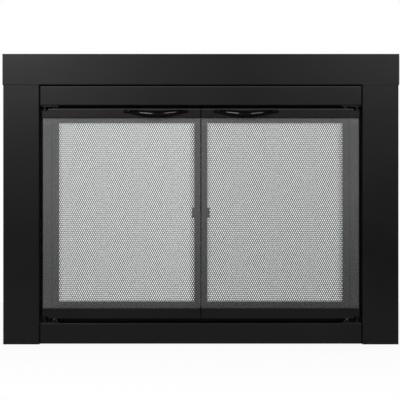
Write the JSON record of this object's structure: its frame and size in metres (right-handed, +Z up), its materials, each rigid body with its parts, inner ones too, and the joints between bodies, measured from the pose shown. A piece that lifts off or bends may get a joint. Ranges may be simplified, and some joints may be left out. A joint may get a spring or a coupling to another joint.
{
  "type": "fireplace glass door",
  "caption": "Fireplace door unit: flat black steel surround with clear glass doors on corner pivots and mesh gates behind them, all opening into the room.",
  "frame": {"origin": "on the hearth, under the middle of the unit's width and depth", "axes": "+X to the right seen from the room, +Y from the room into the firebox, +Z up; the wall face is the plane y = 0.00315 m"},
  "size_m": [1.1158, 0.1164, 0.8171],
  "materials": {
    "powder_coat": "satin black powder coat",
    "rail_coat": "satin black powder coat on drawn rails",
    "gate_coat": "matt black heat-proof paint",
    "mesh_coat": "matt black heat-proof paint on expanded mesh",
    "handle_coat": "smooth black, half gloss",
    "zinc": "zinc-plated steel",
    "glass": "clear toughened, polished edges",
    "gasket": "matt black heat-proof gasket",
    "catch_plastic": "matt black"
  },
  "bodies": {
    "surround": {"clamp_bolt_left": "zinc", "clamp_bolt_right": "zinc", "column_left": "powder_coat", "column_right": "powder_coat", "corner_bracket_left": "zinc", "corner_bracket_right": "zinc", "floor_bracket_left": "zinc", "floor_bracket_right": "zinc", "header": "powder_coat", "jamb_left": "powder_coat", "jamb_right": "powder_coat", "lintel_clamp_left": "zinc", "lintel_clamp_right": "zinc", "lintel_trim": "powder_coat", "magnet_catch_left": "catch_plastic", "magnet_catch_right": "catch_plastic", "pivot_bracket_bottom_left": "rail_coat", "pivot_bracket_bottom_right": "rail_coat", "pivot_bracket_top_left": "rail_coat", "pivot_bracket_top_right": "rail_coat", "sill_rail": "powder_coat"},
    "glass_door_left": {"door_bottom_gasket_left": "gasket", "door_bottom_pivot_left": "rail_coat", "door_bottom_rail_left": "rail_coat", "door_glass_left": "glass", "door_handle_left": "handle_coat", "door_handle_screw_inner_left": "zinc", "door_handle_screw_outer_left": "zinc", "door_strike_left": "zinc", "door_top_gasket_left": "gasket", "door_top_pivot_left": "rail_coat", "door_top_rail_left": "rail_coat"},
    "mesh_gate_left": {"gate_bottom_rail_left": "gate_coat", "gate_hinge_rod_left": "zinc", "gate_hinge_stile_left": "gate_coat", "gate_meeting_stile_left": "gate_coat", "gate_mesh_left": "mesh_coat", "gate_pull_tab_left": "gate_coat", "gate_top_rail_left": "gate_coat"},
    "glass_door_right": {"door_bottom_gasket_right": "gasket", "door_bottom_pivot_right": "rail_coat", "door_bottom_rail_right": "rail_coat", "door_glass_right": "glass", "door_handle_right": "handle_coat", "door_handle_screw_inner_right": "zinc", "door_handle_screw_outer_right": "zinc", "door_strike_right": "zinc", "door_top_gasket_right": "gasket", "door_top_pivot_right": "rail_coat", "door_top_rail_right": "rail_coat"},
    "mesh_gate_right": {"gate_bottom_rail_right": "gate_coat", "gate_hinge_rod_right": "zinc", "gate_hinge_stile_right": "gate_coat", "gate_meeting_stile_right": "gate_coat", "gate_mesh_right": "mesh_coat", "gate_pull_tab_right": "gate_coat", "gate_top_rail_right": "gate_coat"}
  },
  "joints": [
    {"name": "glass_door_left_hinge", "type": "hinge", "parent": "surround", "child": "glass_door_left", "pos_m": [-0.4402, -0.02185, 0.3671], "axis": [0, 0, -1], "range_deg": [0, 95]},
    {"name": "mesh_gate_left_hinge", "type": "hinge", "parent": "surround", "child": "mesh_gate_left", "pos_m": [-0.4174, 0.00115, 0.3671], "axis": [0, 0, -1], "range_deg": [0, 95]},
    {"name": "glass_door_right_hinge", "type": "hinge", "parent": "surround", "child": "glass_door_right", "pos_m": [0.4402, -0.02185, 0.3671], "axis": [0, 0, 1], "range_deg": [0, 95]},
    {"name": "mesh_gate_right_hinge", "type": "hinge", "parent": "surround", "child": "mesh_gate_right", "pos_m": [0.4174, 0.00115, 0.3671], "axis": [0, 0, 1], "range_deg": [0, 95]}
  ],
  "couplings": [
    {"joint": "mesh_gate_left_hinge", "follows": "glass_door_left_hinge", "ratio": 1},
    {"joint": "mesh_gate_right_hinge", "follows": "glass_door_right_hinge", "ratio": 1}
  ]
}
